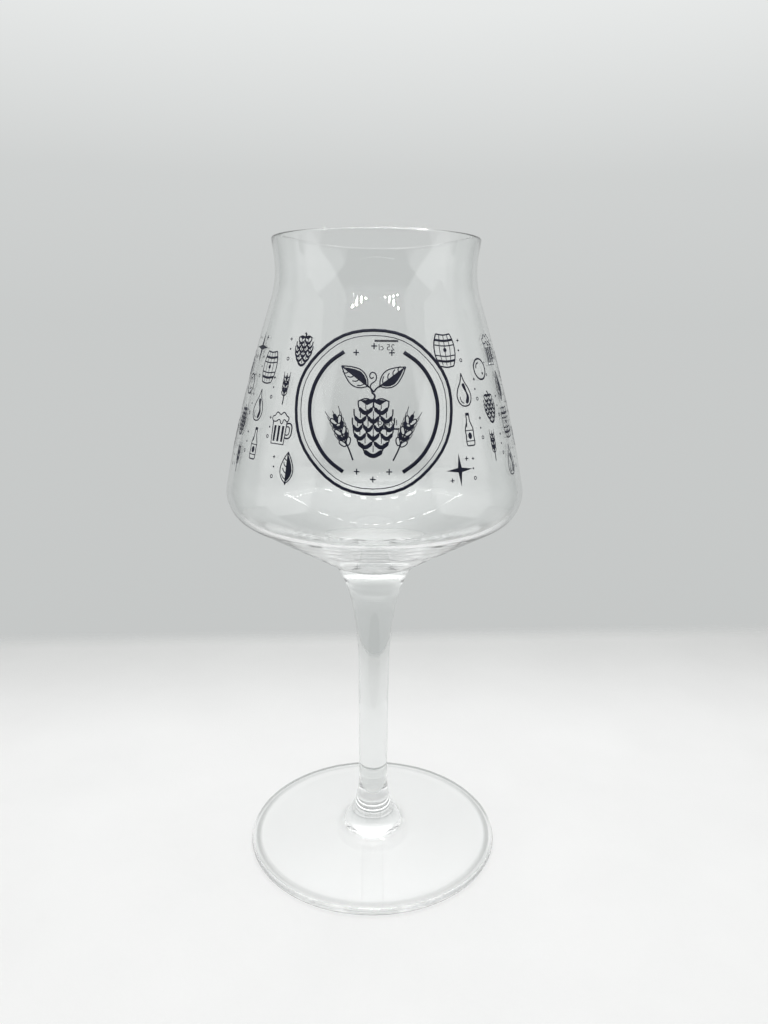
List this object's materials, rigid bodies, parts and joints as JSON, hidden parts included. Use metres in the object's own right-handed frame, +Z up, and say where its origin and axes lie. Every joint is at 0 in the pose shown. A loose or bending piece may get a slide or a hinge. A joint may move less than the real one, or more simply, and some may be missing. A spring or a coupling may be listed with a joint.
{
  "type": "stemmed beer tasting glass",
  "caption": "Clear stemmed beer tasting glass: tapered bowl with an angular shoulder and flared lip, slim stem, flat round foot, dark printed motifs and fill marks.",
  "frame": {"origin": "centre of the foot's resting ring, on the table", "axes": "+Z up along the axis of the bowl, stem and foot, -Y towards the side that carries the round medallion, +X to the right of someone facing it"},
  "size_m": [0.0868, 0.0868, 0.187],
  "materials": {
    "glass": "clear fire-polished soda-lime glass",
    "enamel": "fired blue-black enamel print, satin"
  },
  "bodies": {
    "root": {"bowl": "glass", "foot": "glass", "print_fill_mark_full": "enamel", "print_fill_mark_half": "enamel", "print_left_1_1_hop": "enamel", "print_left_1_2_barley": "enamel", "print_left_1_3_mug": "enamel", "print_left_1_4_leaf": "enamel", "print_left_2_1_barrel": "enamel", "print_left_2_2_drop": "enamel", "print_left_2_3_bottle": "enamel", "print_left_3_1_sparkle": "enamel", "print_left_3_2_bubble": "enamel", "print_left_3_3_hop": "enamel", "print_left_3_4_barley": "enamel", "print_left_4_1_mug": "enamel", "print_left_4_2_leaf": "enamel", "print_left_4_3_barrel": "enamel", "print_medallion_arc_left": "enamel", "print_medallion_arc_right": "enamel", "print_medallion_barley_left": "enamel", "print_medallion_barley_right": "enamel", "print_medallion_hop": "enamel", "print_medallion_leaf_left": "enamel", "print_medallion_leaf_right": "enamel", "print_medallion_ring": "enamel", "print_right_1_1_barrel": "enamel", "print_right_1_2_drop": "enamel", "print_right_1_3_bottle": "enamel", "print_right_1_4_sparkle": "enamel", "print_right_2_1_bubble": "enamel", "print_right_2_2_hop": "enamel", "print_right_2_3_barley": "enamel", "print_right_3_1_mug": "enamel", "print_right_3_2_leaf": "enamel", "print_right_3_3_barrel": "enamel", "print_right_3_4_drop": "enamel", "print_right_4_1_bottle": "enamel", "print_right_4_2_sparkle": "enamel", "print_right_4_3_bubble": "enamel", "stem": "glass"}
  },
  "joints": []
}
